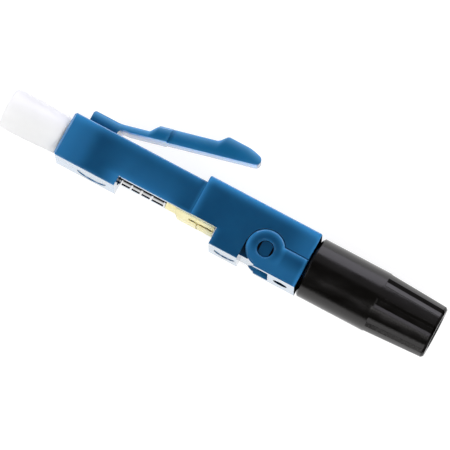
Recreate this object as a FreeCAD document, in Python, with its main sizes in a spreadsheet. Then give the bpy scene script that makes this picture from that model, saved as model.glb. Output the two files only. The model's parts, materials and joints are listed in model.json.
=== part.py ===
import FreeCAD, Part
import math
import os
from types import SimpleNamespace

import Sketcher

# LC fibre connector for field assembly, lying on its side.
# The origin is on the fibre's axis at the front face of the plug.
# X runs from the ferrule towards the cable, Y towards the latch and Z up from the table.

# Driving dimensions in millimetres and degrees
DIMENSIONS = [
    ("plug_side", 4.52, "square section of the plug"),
    ("block_length", 6.48, "full-section front block of the plug"),
    ("stem_length", 7.62, "open-bottomed stem between the block and the rear body"),
    ("open_depth", 1.23, "axis to the open underside of the stem"),
    ("front_bevel", 0.20, "bevel round the front face of the plug"),
    ("housing_round", 0.16, "rounding of the plug's long edges"),
    ("stem_round", 0.12, "rounding of the stem's lower edges"),
    ("front_bore", 3.00, "bore round the ferrule at the front face"),
    ("front_bore_depth", 2.90, "depth of the front bore"),
    ("web_thickness", 0.50, "web that stops the ferrule's flange"),
    ("tenon_length", 2.80, "tongue of the stem inside the rear body"),
    ("fit_gap", 0.04, "gap at each face of a fit that stays put"),
    ("dimple_diameter", 3.10, "round ejector recess under the front block"),
    ("dimple_place", 4.05, "front face to the middle of that recess"),
    ("dimple_depth", 0.07, "depth of the ejector recesses"),
    ("latch_width", 2.70, "root, arm and ears of the latch"),
    ("lever_width", 1.90, "lever behind the ears"),
    ("latch_angle", 13.90, "rise of the latch arm at rest"),
    ("root_start", 1.40, "front face to the latch root"),
    ("root_height", 1.13, "latch root above the plug"),
    ("root_round", 0.28, "front corner of the latch root"),
    ("arm_thickness", 0.60, "sprung arm of the latch"),
    ("hinge_place", 4.45, "front face to the line the arm bends about"),
    ("hinge_drop", 0.24, "that line below the top of the root"),
    ("hinge_gap", 0.04, "running gap round the arm's rounded end"),
    ("ear_start", 6.93, "front face to the foot of the ears' ramp"),
    ("ear_ramp", 0.63, "length of the ears' ramp"),
    ("ear_rise", 0.81, "ears above the arm"),
    ("ear_end", 8.76, "front face to the ears' shoulder"),
    ("ear_bevel", 0.34, "bevel along the ears' outer edges"),
    ("thumb_start", 13.08, "front face to the foot of the thumb pad"),
    ("thumb_ramp", 0.56, "length of the thumb pad's front ramp"),
    ("thumb_top", 7.21, "axis to the top of the thumb pad"),
    ("thumb_flat", 2.10, "flat stretch of the thumb pad"),
    ("thumb_drop", 0.36, "fall of the thumb pad towards its tip"),
    ("latch_tip", 17.48, "front face to the tip of the latch"),
    ("tip_round", 0.34, "rounding of the latch's tip"),
    ("thumb_round", 0.26, "rounding of the thumb pad's front"),
    ("ferrule_diameter", 1.25, "ferrule"),
    ("ferrule_length", 6.50, "ferrule"),
    ("ferrule_reach", 4.10, "ferrule ahead of the front face"),
    ("ferrule_bevel", 0.20, "bevel at the ferrule's tip"),
    ("glue_gap", 0.01, "glue line round the ferrule"),
    ("fibre_diameter", 0.125, "bare fibre"),
    ("fibre_gap", 0.03, "gap round the fibre"),
    ("sleeve_diameter", 1.96, "sleeve of the flange round the ferrule"),
    ("sleeve_start", 1.20, "front face to the flange's sleeve"),
    ("sleeve_gap", 0.07, "sleeve to the hole in the web"),
    ("flange_thickness", 1.15, "flange that the spring pushes"),
    ("flange_gap", 0.06, "flange to the wall of the spring chamber"),
    ("stop_gap", 0.03, "flange to its stop, and spring to its seats"),
    ("tail_diameter", 2.66, "tube behind the flange"),
    ("tail_bore", 0.90, "bore of that tube"),
    ("tail_entry", 0.12, "tube inside the splice holder's neck"),
    ("float_travel", 0.80, "travel of the ferrule against the spring"),
    ("wire_diameter", 0.22, "spring wire"),
    ("spring_turns", 6.30, "turns of the spring"),
    ("spring_gap", 0.03, "spring to the tube inside it"),
    ("chamber_gap", 0.12, "spring to the chamber round it"),
    ("splice_setback", 2.55, "splice holder's front ahead of the rear body"),
    ("neck_diameter", 3.10, "neck of the splice holder"),
    ("neck_length", 1.05, "neck of the splice holder"),
    ("neck_gap", 0.06, "tube to the neck's bore"),
    ("splice_width", 2.60, "splice holder across its flats"),
    ("splice_top", 1.30, "axis to the top of the splice holder"),
    ("splice_bottom", 1.80, "axis to the bottom of the splice holder"),
    ("splice_length", 4.10, "block of the splice holder"),
    ("splice_bevel", 0.36, "bevel at the block's lower front edge"),
    ("splice_edge", 0.50, "bevels along the block's lower edges"),
    ("passage", 0.60, "fibre's passage through the splice holder's neck"),
    ("slit_width", 0.14, "saw cuts in the splice holder"),
    ("slit_height", 1.56, "axis to the side slit"),
    ("slit_length", 2.60, "side slit, from the rear end"),
    ("cut_place", 2.35, "cross cut, from the front of the block"),
    ("cut_length", 1.65, "lengthwise cut, from the cross cut forwards"),
    ("cut_offset", 0.62, "lengthwise cut, aside of the middle"),
    ("cut_depth", 0.22, "cuts in the underside"),
    ("groove_width", 1.60, "V-groove plates, across"),
    ("groove_height", 0.88, "each V-groove plate, high"),
    ("groove_setback", 0.30, "V-groove plates behind the front of their slot"),
    ("v_depth", 0.24, "V groove in the lower plate"),
    ("relief_depth", 0.12, "relief over the fibre in the upper plate"),
    ("guide_reach", 2.50, "spigot of the fibre guide"),
    ("guide_mouth", 1.60, "wide end of the fibre guide's funnel"),
    ("guide_throat", 0.30, "narrow end of the funnel"),
    ("body_length", 11.90, "rear body"),
    ("body_height", 5.84, "rear body, in Y"),
    ("body_width", 4.80, "rear body, in Z"),
    ("body_round", 0.16, "rounding of the rear body's edges"),
    ("socket_wall", 0.50, "rear body beside the tenon"),
    ("socket_roof", 0.80, "rear body over the tenon"),
    ("notch_length", 2.85, "notch under the rear body's front"),
    ("body_dimple_diameter", 2.20, "ejector recess under the rear body"),
    ("body_dimple_place", 4.50, "rear body's front to the middle of that recess"),
    ("channel_width", 2.30, "cable channel"),
    ("saddle_depth", 1.89, "axis to the underside of the channel's walls"),
    ("saddle_front_depth", 2.40, "the same ahead of the lid's floor"),
    ("saddle_step", 0.30, "end of that deeper stretch behind the pivot"),
    ("tail_length", 5.25, "threaded tail under the nut"),
    ("thread_diameter", 4.60, "threaded tail"),
    ("tail_lead", 0.41, "bevel at the tail's end"),
    ("tail_slot", 0.50, "slots in the tail"),
    ("tail_slot_length", 3.00, "slots in the tail"),
    ("tail_offset", 0.25, "rear body's end to the tail"),
    ("collar_angle", 156.0, "collar that joins the tail to the rear body"),
    ("pivot_setback", 4.10, "lid's pivot ahead of the rear body's end"),
    ("pivot_drop", 0.85, "lid's pivot below the axis"),
    ("eye_radius", 1.87, "outside of the lid's eyes"),
    ("eye_hole", 1.60, "hole in the lid's eyes"),
    ("eye_bevel", 0.13, "bevel round the hole"),
    ("pin_gap", 0.05, "running gap round the hinge bosses"),
    ("boss_flat", 1.10, "hinge bosses across their flats"),
    ("boss_recess", 0.22, "hinge bosses below the lid's face"),
    ("lid_gap", 0.05, "lid to the rear body round its outline"),
    ("eye_front_gap", 0.10, "lid's eyes to the block ahead of them"),
    ("lid_side_gap", 0.05, "lid's arms to the channel's walls"),
    ("lid_wall", 0.65, "arms of the lid"),
    ("lid_depth", 2.80, "axis to the underside of the lid"),
    ("lid_floor", 0.80, "floor of the lid"),
    ("lid_floor_start", 2.85, "front of the lid's floor ahead of the rear end"),
    ("lid_parting", 0.12, "top edge of the lid above the axis"),
    ("heel_reach", 0.30, "lid's heel ahead of the pivot"),
    ("lid_proud", 0.06, "lid's sides outside the rear body's"),
    ("lid_bevel", 0.14, "bevel along the lid's outer edges"),
    ("lid_hole", 1.45, "round hole in the lid's floor"),
    ("lid_hole_setback", 1.50, "middle of that hole ahead of the rear end"),
    ("rib_height", 0.70, "jacket ribs inside the lid"),
    ("rib_thickness", 0.30, "jacket ribs inside the lid"),
    ("rib_margin", 0.22, "jacket ribs to the ends of the floor"),
    ("rib_gap", 0.12, "jacket ribs to the channel's walls"),
    ("nut_gap", 0.20, "rear body to the nut"),
    ("nut_diameter", 6.02, "plain part of the nut"),
    ("nut_plain", 7.00, "plain part of the nut"),
    ("nut_length", 13.33, "nut"),
    ("nut_end_diameter", 5.36, "rear end of the nut"),
    ("nut_bevel", 0.20, "front edge of the nut"),
    ("nut_end_bevel", 0.22, "rear edge of the nut"),
    ("nut_turn", 9.00, "turn of the flutes about the axis"),
    ("thread_gap", 0.06, "tail to the nut's bore"),
    ("nut_bore_spare", 0.60, "nut's bore behind the tail"),
    ("nut_cone", 1.00, "cone between the nut's bore and the cable hole"),
    ("cable_hole", 3.40, "cable hole in the nut"),
    ("flute_setback", 0.20, "flutes behind the plain part"),
    ("flute_mouth", 1.40, "flutes at the surface"),
    ("flute_floor", 0.50, "flutes at their floor"),
    ("flute_depth", 0.27, "flutes"),
    ("cap_reach", 6.10, "dust cap ahead of the front face"),
    ("cap_gap", 0.10, "dust cap to the front face"),
    ("cap_diameter", 4.06, "head of the dust cap"),
    ("cap_waist", 3.72, "dust cap beside the plug"),
    ("cap_head", 2.00, "length of the dust cap's head"),
    ("cap_round", 0.30, "rounding of the dust cap's end"),
    ("cap_wall", 1.05, "closed end of the dust cap"),
    ("cap_bore", 2.00, "bore round the ferrule"),
    ("nose_gap", 0.06, "dust cap's nose to the front bore"),
    ("nose_length", 1.00, "dust cap's nose inside the plug"),
]

FLUTES = 8
WIRE_SIDES = 4
WELL_CLEAR = 2
NEAR = 1e-4


class Size:
    """A dimension: its number now, and the expression that ties it to the sheet."""

    def __init__(self, number, text):
        self.number = number
        self.text = text

    def __add__(self, other):
        other = as_size(other)
        return Size(self.number + other.number, f"({self.text} + {other.text})")

    def __sub__(self, other):
        other = as_size(other)
        return Size(self.number - other.number, f"({self.text} - {other.text})")

    def __mul__(self, other):
        other = as_size(other)
        return Size(self.number * other.number, f"({self.text} * {other.text})")

    def __truediv__(self, other):
        other = as_size(other)
        return Size(self.number / other.number, f"({self.text} / {other.text})")

    def __neg__(self):
        return Size(-self.number, f"(0 - {self.text})")


def as_size(item):
    return item if isinstance(item, Size) else Size(item, str(item))


def tangent(angle):
    return Size(math.tan(math.radians(angle.number)), f"tan({angle.text} * 1 deg)")


def sine(angle):
    return Size(math.sin(math.radians(angle.number)), f"sin({angle.text} * 1 deg)")


def cosine(angle):
    return Size(math.cos(math.radians(angle.number)), f"cos({angle.text} * 1 deg)")


doc = FreeCAD.newDocument("lc_fibre_connector")
sheet = doc.addObject("Spreadsheet::Sheet", "Sizes")
for row, (alias, number, note) in enumerate(DIMENSIONS, 1):
    sheet.set(f"A{row}", alias)
    sheet.set(f"B{row}", str(number))
    sheet.setAlias(f"B{row}", alias)
    sheet.set(f"C{row}", note)
doc.recompute()
d = SimpleNamespace(**{alias: Size(number, f"Sizes.{alias}") for alias, number, note in DIMENSIONS})

# Places along the axis, from the front face of the plug
half = d.plug_side / 2
stem_end = d.block_length + d.stem_length
tenon_end = stem_end + d.tenon_length
notch_end = stem_end + d.notch_length
body_end = stem_end + d.body_length
web_end = d.front_bore_depth + d.web_thickness
flange_front = web_end + d.stop_gap
flange_back = flange_front + d.flange_thickness
splice_front = stem_end - d.splice_setback
block_front = splice_front + d.neck_length
splice_back = block_front + d.splice_length
guide_front = splice_back + d.fit_gap
guide_step = notch_end - d.fit_gap
tube_end = splice_front + d.tail_entry
pivot_x = body_end - d.pivot_setback
floor_front = body_end - d.lid_floor_start
tail_front = body_end + d.tail_offset
tail_back = tail_front + d.tail_length
nut_front = body_end + d.nut_gap
nut_taper = nut_front + d.nut_plain
nut_back = nut_front + d.nut_length

# Radii and half widths, from the axis outwards
fibre_radius = d.fibre_diameter / 2
ferrule_radius = d.ferrule_diameter / 2
tube_radius = d.tail_diameter / 2
coil_radius = tube_radius + d.spring_gap + d.wire_diameter / 2
chamber_radius = coil_radius + d.wire_diameter / 2 + d.chamber_gap
splice_half = d.splice_width / 2
splice_slot = splice_half + d.fit_gap
body_half = d.body_height / 2
side_half = d.body_width / 2
lid_half = side_half + d.lid_proud
tenon_half = side_half - d.socket_wall - d.fit_gap
tenon_top = body_half - d.socket_roof - d.fit_gap
channel_half = d.channel_width / 2
arm_inside = side_half - d.lid_wall
saddle_half = arm_inside - d.lid_side_gap
thread_radius = d.thread_diameter / 2
nut_radius = d.nut_diameter / 2
nut_end_radius = d.nut_end_diameter / 2
beyond = body_half * WELL_CLEAR
across = d.body_width * WELL_CLEAR


# Drawing and building helpers
def bind(made, place, size):
    made.setExpression(place, size.text)


def start(label):
    body = doc.addObject("PartDesign::Body", label)
    body.Label = label
    return body


def draw(body, plane, name, offset=None):
    """Starts a drawing on one of the body's own planes, moved along the plane's normal."""
    made = body.newObject("Sketcher::SketchObject", name)
    support = next(item for item in body.Origin.OriginFeatures if item.Role == plane)
    made.AttachmentSupport = (support, [""])
    made.MapMode = "FlatFace"
    if offset is not None:
        made.AttachmentOffset.Base.z = offset.number
        bind(made, "AttachmentOffset.Base.z", offset)
    return made


def fix_point(made, geometry, point, x, y):
    """Holds a point at x, y from the drawing's origin. A plain 0 holds it on the axis."""
    for kind, axis, size in (("DistanceX", -2, x), ("DistanceY", -1, y)):
        if isinstance(size, Size):
            index = made.addConstraint(Sketcher.Constraint(kind, -1, 1, geometry, point, size.number))
            bind(made, f"Constraints[{index}]", size)
        else:
            made.addConstraint(Sketcher.Constraint("PointOnObject", geometry, point, axis))


def spot(x, y):
    return FreeCAD.Vector(as_size(x).number, as_size(y).number, 0)


def polygon(made, corners):
    """Draws a closed outline of straight lines through the corners."""
    first = made.GeometryCount
    count = len(corners)
    for index, corner in enumerate(corners):
        following = corners[(index + 1) % count]
        made.addGeometry(Part.LineSegment(spot(*corner), spot(*following)), False)
    for index in range(count):
        joined = first + (index + 1) % count
        made.addConstraint(Sketcher.Constraint("Coincident", first + index, 2, joined, 1))
    for index, corner in enumerate(corners):
        fix_point(made, first + index, 1, *corner)
    return made


def rectangle(made, low_x, high_x, low_y, high_y):
    return polygon(made, [(low_x, low_y), (high_x, low_y), (high_x, high_y), (low_x, high_y)])


def circle(made, x, y, radius):
    round_line = Part.Circle(spot(x, y), FreeCAD.Vector(0, 0, 1), radius.number)
    index = made.addGeometry(round_line, False)
    fix_point(made, index, 3, x, y)
    held = made.addConstraint(Sketcher.Constraint("Radius", index, radius.number))
    bind(made, f"Constraints[{held}]", radius)
    return made


def extrude(body, kind, name, outline, depth, side="Symmetric", turned=False):
    """Pads or pockets an outline. Symmetric depth is measured right across."""
    made = body.newObject("PartDesign::" + kind, name)
    made.Profile = outline
    made.SideType = side
    made.Reversed = turned
    made.Length = depth.number
    bind(made, "Length", depth)
    doc.recompute()
    return made


def turn(body, kind, name, outline, angle=None):
    """Revolves an outline about the fibre's axis, or over an arc centred on the drawing's plane."""
    made = body.newObject("PartDesign::" + kind, name)
    made.Profile = outline
    made.ReferenceAxis = (outline, ["H_Axis"])
    if angle is not None:
        made.Midplane = True
        made.Angle = angle.number
        bind(made, "Angle", angle)
    doc.recompute()
    return made


def lies_at(edge, **places):
    """True where all of the edge lies at the given x, y or z."""
    box = edge.BoundBox
    ends = [(getattr(box, axis.upper() + end), as_size(place).number)
            for axis, place in places.items() for end in ("Min", "Max")]
    return all(abs(found - wanted) < NEAR for found, wanted in ends)


def ease(body, kind, name, amount, chosen):
    """Rounds or bevels the chosen edges of the body as it stands."""
    base = body.Tip
    names = [f"Edge{index}" for index, edge in enumerate(base.Shape.Edges, 1) if chosen(edge)]
    made = body.newObject("PartDesign::" + kind, name)
    made.Base = (base, names)
    place = "Radius" if kind == "Fillet" else "Size"
    setattr(made, place, amount.number)
    bind(made, place, amount)
    doc.recompute()
    return made


# Plug housing: front block, stem, tenon and latch root
hinge_radius = d.arm_thickness / 2
root_top = half + d.root_height
hinge_y = root_top - d.hinge_drop


def make_plug_housing():
    body = start("plug_housing")
    side = draw(body, "XY_Plane", "housing_side")
    polygon(side, [(0, -half), (d.block_length, -half), (d.block_length, -d.open_depth),
                   (stem_end, -d.open_depth), (stem_end, half), (0, half)])
    extrude(body, "Pad", "block_and_stem", side, d.plug_side)
    ease(body, "Chamfer", "front_edges", d.front_bevel, lambda edge: lies_at(edge, x=0))
    ease(body, "Fillet", "long_edges", d.housing_round, is_long_edge)
    ease(body, "Fillet", "stem_edges", d.stem_round, is_stem_edge)

    tenon = draw(body, "XY_Plane", "tenon_side")
    rectangle(tenon, d.block_length, tenon_end, -d.open_depth, tenon_top)
    extrude(body, "Pad", "tenon", tenon, tenon_half * 2)

    root = draw(body, "XY_Plane", "root_side")
    root_back = d.hinge_place - hinge_radius / 2
    rectangle(root, d.root_start, root_back, 0, root_top)
    extrude(body, "Pad", "latch_root", root, d.latch_width)
    ease(body, "Fillet", "root_corner", d.root_round,
         lambda edge: lies_at(edge, x=d.root_start, y=root_top))
    seat = draw(body, "XY_Plane", "hinge_seat_side")
    circle(seat, d.hinge_place, hinge_y, hinge_radius + d.hinge_gap)
    extrude(body, "Pocket", "hinge_seat", seat, across)

    bore = draw(body, "XY_Plane", "bore_profile")
    web_hole = d.sleeve_diameter / 2 + d.sleeve_gap
    polygon(bore, [(0, 0), (0, d.front_bore / 2), (d.front_bore_depth, d.front_bore / 2),
                   (d.front_bore_depth, web_hole), (web_end, web_hole), (web_end, chamber_radius),
                   (block_front, chamber_radius), (block_front, 0)])
    turn(body, "Groove", "stepped_bore", bore)

    window = draw(body, "XY_Plane", "window_side")
    rectangle(window, d.block_length, block_front, -beyond, 0)
    extrude(body, "Pocket", "spring_window", window, chamber_radius * 2)
    slot = draw(body, "XY_Plane", "splice_slot_side")
    rectangle(slot, block_front, tenon_end, -beyond, d.splice_top + d.fit_gap)
    extrude(body, "Pocket", "splice_slot", slot, splice_slot * 2)

    dimple = draw(body, "XZ_Plane", "dimple_outline", half)
    circle(dimple, d.dimple_place, 0, d.dimple_diameter / 2)
    extrude(body, "Pocket", "ejector_recess", dimple, d.dimple_depth, "One side")
    return body


def is_long_edge(edge):
    box = edge.BoundBox
    lengthwise = box.XLength > d.block_length.number / 2
    outside = abs(abs(box.ZMin) - half.number) < NEAR and abs(abs(box.YMin) - half.number) < NEAR
    return lengthwise and outside and box.YLength < NEAR and box.ZLength < NEAR


def is_stem_edge(edge):
    return any(lies_at(edge, y=-d.open_depth, z=side) for side in (half, -half))


# Latch: rounded hinge end, sprung arm, two ears and the thumb lever
rise = tangent(d.latch_angle)
arm_top_x = d.hinge_place - hinge_radius * sine(d.latch_angle)
arm_top_y = hinge_y + hinge_radius * cosine(d.latch_angle)
arm_low_x = d.hinge_place + hinge_radius * sine(d.latch_angle)
arm_low_y = hinge_y - hinge_radius * cosine(d.latch_angle)


def arm_top(x):
    return arm_top_y + (x - arm_top_x) * rise


def arm_low(x):
    return arm_low_y + (x - arm_low_x) * rise


def ear_top(x):
    return arm_top(x) + d.ear_rise


def make_latch_lever():
    body = start("latch_lever")
    ramp_end = d.ear_start + d.ear_ramp
    arm = draw(body, "XY_Plane", "arm_side")
    polygon(arm, [(arm_low_x, arm_low_y), (d.ear_end, arm_low(d.ear_end)),
                  (d.ear_end, ear_top(d.ear_end)), (ramp_end, ear_top(ramp_end)),
                  (d.ear_start, arm_top(d.ear_start)), (arm_top_x, arm_top_y)])
    extrude(body, "Pad", "arm_and_ears", arm, d.latch_width)
    ease(body, "Chamfer", "ear_edges", d.ear_bevel, is_ear_edge)

    end = draw(body, "XY_Plane", "hinge_end_side")
    circle(end, d.hinge_place, hinge_y, hinge_radius)
    extrude(body, "Pad", "hinge_end", end, d.latch_width)

    lever = draw(body, "XY_Plane", "lever_side")
    pad_front = d.thumb_start + d.thumb_ramp
    pad_back = pad_front + d.thumb_flat
    lever_front = d.ear_end - d.ear_ramp
    polygon(lever, [(lever_front, arm_low(lever_front)), (d.latch_tip, arm_low(d.latch_tip)),
                    (d.latch_tip, d.thumb_top - d.thumb_drop), (pad_back, d.thumb_top),
                    (pad_front, d.thumb_top), (d.thumb_start, ear_top(d.thumb_start)),
                    (lever_front, ear_top(lever_front))])
    extrude(body, "Pad", "thumb_lever", lever, d.lever_width)
    ease(body, "Fillet", "tip_rounding", d.tip_round, lambda edge: is_cross_edge(edge, d.latch_tip))
    ease(body, "Fillet", "thumb_rounding", d.thumb_round,
         lambda edge: is_cross_edge(edge, pad_front) or is_cross_edge(edge, d.thumb_start))
    return body


def is_ear_edge(edge):
    box = edge.BoundBox
    on_side = abs(abs(box.ZMin) - d.latch_width.number / 2) < NEAR and box.ZLength < NEAR
    on_top = abs(box.YMax - ear_top(d.ear_end).number) < NEAR
    return on_side and on_top and box.XLength > NEAR


def is_cross_edge(edge, x):
    box = edge.BoundBox
    return abs(box.XMin - x.number) < NEAR and box.XLength < NEAR and box.YLength < NEAR


# Ferrule with its flange, fibre and spring
def make_ferrule():
    body = start("ferrule")
    profile = draw(body, "XY_Plane", "ferrule_profile")
    back = d.ferrule_length - d.ferrule_reach
    bore = fibre_radius + d.fibre_gap
    polygon(profile, [(-d.ferrule_reach, bore), (-d.ferrule_reach, ferrule_radius - d.ferrule_bevel),
                      (d.ferrule_bevel - d.ferrule_reach, ferrule_radius), (back, ferrule_radius),
                      (back, bore)])
    turn(body, "Revolution", "ferrule_turned", profile)
    return body


def make_ferrule_flange():
    body = start("ferrule_flange")
    profile = draw(body, "XY_Plane", "flange_profile")
    seat = ferrule_radius + d.glue_gap
    seat_end = d.ferrule_length - d.ferrule_reach + d.glue_gap
    outside = chamber_radius - d.flange_gap
    polygon(profile, [(d.sleeve_start, seat), (d.sleeve_start, d.sleeve_diameter / 2),
                      (flange_front, d.sleeve_diameter / 2), (flange_front, outside),
                      (flange_back, outside), (flange_back, tube_radius), (tube_end, tube_radius),
                      (tube_end, d.tail_bore / 2), (seat_end, d.tail_bore / 2), (seat_end, seat)])
    turn(body, "Revolution", "flange_turned", profile)
    return body


def make_fibre_stub():
    body = start("fibre_stub")
    profile = draw(body, "XY_Plane", "fibre_profile")
    fibre_end = block_front + d.splice_length / 2
    rectangle(profile, -d.ferrule_reach, fibre_end, 0, fibre_radius)
    turn(body, "Revolution", "fibre_drawn", profile)
    return body


def make_coil_spring():
    body = start("coil_spring")
    wire = draw(body, "XY_Plane", "wire_section")
    spring_start = flange_back + d.stop_gap + d.wire_diameter / 2
    spring_end = splice_front - d.stop_gap - d.wire_diameter / 2
    wire_radius = d.wire_diameter / 2
    corners = []
    for index in range(WIRE_SIDES):
        angle = as_size((index + 0.5) * 360 / WIRE_SIDES)
        corners.append((spring_start + wire_radius * cosine(angle), wire_radius * sine(angle) - coil_radius))
    polygon(wire, corners)
    made = body.newObject("PartDesign::AdditiveHelix", "coils")
    made.Profile = wire
    made.ReferenceAxis = (wire, ["H_Axis"])
    made.Mode = "height-turns-angle"
    made.Height = (spring_end - spring_start).number
    made.Turns = d.spring_turns.number
    bind(made, "Height", spring_end - spring_start)
    bind(made, "Turns", d.spring_turns)
    doc.recompute()
    return body


# Splice: brass holder, two V-groove plates and the fibre guide
groove_half = d.groove_width / 2
groove_slot_front = block_front + d.groove_setback


def make_splice_holder():
    body = start("splice_holder")
    block = draw(body, "YZ_Plane", "holder_section", block_front)
    bevel_top = d.splice_edge - d.splice_bottom
    bevel_side = splice_half - d.splice_edge
    polygon(block, [(d.splice_top, -splice_half), (d.splice_top, splice_half), (bevel_top, splice_half),
                    (-d.splice_bottom, bevel_side), (-d.splice_bottom, -bevel_side),
                    (bevel_top, -splice_half)])
    extrude(body, "Pad", "holder_block", block, d.splice_length, "One side")
    ease(body, "Chamfer", "lower_front_edge", d.splice_bevel,
         lambda edge: lies_at(edge, x=block_front, y=-d.splice_bottom))
    neck = draw(body, "XY_Plane", "neck_profile")
    rectangle(neck, splice_front, block_front, 0, d.neck_diameter / 2)
    turn(body, "Revolution", "neck", neck)

    bore = draw(body, "XY_Plane", "neck_bore_profile")
    bore_end = tube_end + d.float_travel + d.neck_gap
    bore_radius = tube_radius + d.neck_gap
    polygon(bore, [(splice_front, 0), (splice_front, bore_radius), (bore_end, bore_radius),
                   (bore_end, d.passage / 2), (groove_slot_front, d.passage / 2),
                   (groove_slot_front, 0)])
    turn(body, "Groove", "neck_bore", bore)
    slot = draw(body, "XY_Plane", "plate_slot_side")
    slot_half = d.groove_height + d.fit_gap
    rectangle(slot, groove_slot_front, splice_back, -slot_half, slot_half)
    extrude(body, "Pocket", "plate_slot", slot, (groove_half + d.fit_gap) * 2)

    slit = draw(body, "XY_Plane", "side_slit_side")
    slit_top = -d.slit_height + d.slit_width / 2
    rectangle(slit, splice_back - d.slit_length, splice_back, slit_top - d.slit_width, slit_top)
    extrude(body, "Pocket", "side_slit", slit, across)
    cuts = draw(body, "XZ_Plane", "underside_cuts", d.splice_bottom)
    cut_x = block_front + d.cut_place
    cut_back = cut_x + d.slit_width
    cut_low = -d.cut_offset - d.slit_width
    polygon(cuts, [(cut_x - d.cut_length, cut_low), (cut_back, cut_low), (cut_back, splice_half),
                   (cut_x, splice_half), (cut_x, -d.cut_offset), (cut_x - d.cut_length, -d.cut_offset)])
    extrude(body, "Pocket", "saw_cuts", cuts, d.cut_depth, "One side")
    return body


def make_groove_plate(label, upper):
    """One half of the splice. The lower half has the V groove and the upper half a relief."""
    body = start(label)
    front = groove_slot_front + d.fit_gap
    face = d.fit_gap / 2
    far = d.groove_height
    bottom, top = (face, far) if upper else (-far, -face)
    plate = draw(body, "XY_Plane", label + "_side")
    rectangle(plate, front, splice_back - d.fit_gap, bottom, top)
    extrude(body, "Pad", label + "_plate", plate, groove_half * 2)

    groove = draw(body, "YZ_Plane", label + "_groove", front)
    mouth = -face if upper else face
    tip = d.relief_depth if upper else -d.v_depth
    polygon(groove, [(mouth, -d.v_depth), (tip, 0), (mouth, d.v_depth)])
    extrude(body, "Pocket", label + "_v", groove, d.splice_length, "One side", True)
    return body


def make_fibre_guide():
    body = start("fibre_guide")
    flange = draw(body, "XY_Plane", "guide_side")
    rectangle(flange, guide_front, guide_step, -d.splice_bottom, d.splice_top)
    extrude(body, "Pad", "guide_flange_plate", flange, d.splice_width)
    spigot = draw(body, "XY_Plane", "spigot_profile")
    guide_back = guide_step + d.guide_reach
    rectangle(spigot, guide_front, guide_back, 0, channel_half - d.fit_gap)
    turn(body, "Revolution", "spigot", spigot)
    funnel = draw(body, "XY_Plane", "funnel_profile")
    polygon(funnel, [(guide_front, 0), (guide_front, d.guide_throat / 2), (guide_step, d.guide_throat / 2),
                     (guide_back, d.guide_mouth / 2), (guide_back, 0)])
    turn(body, "Groove", "funnel", funnel)
    return body


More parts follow.
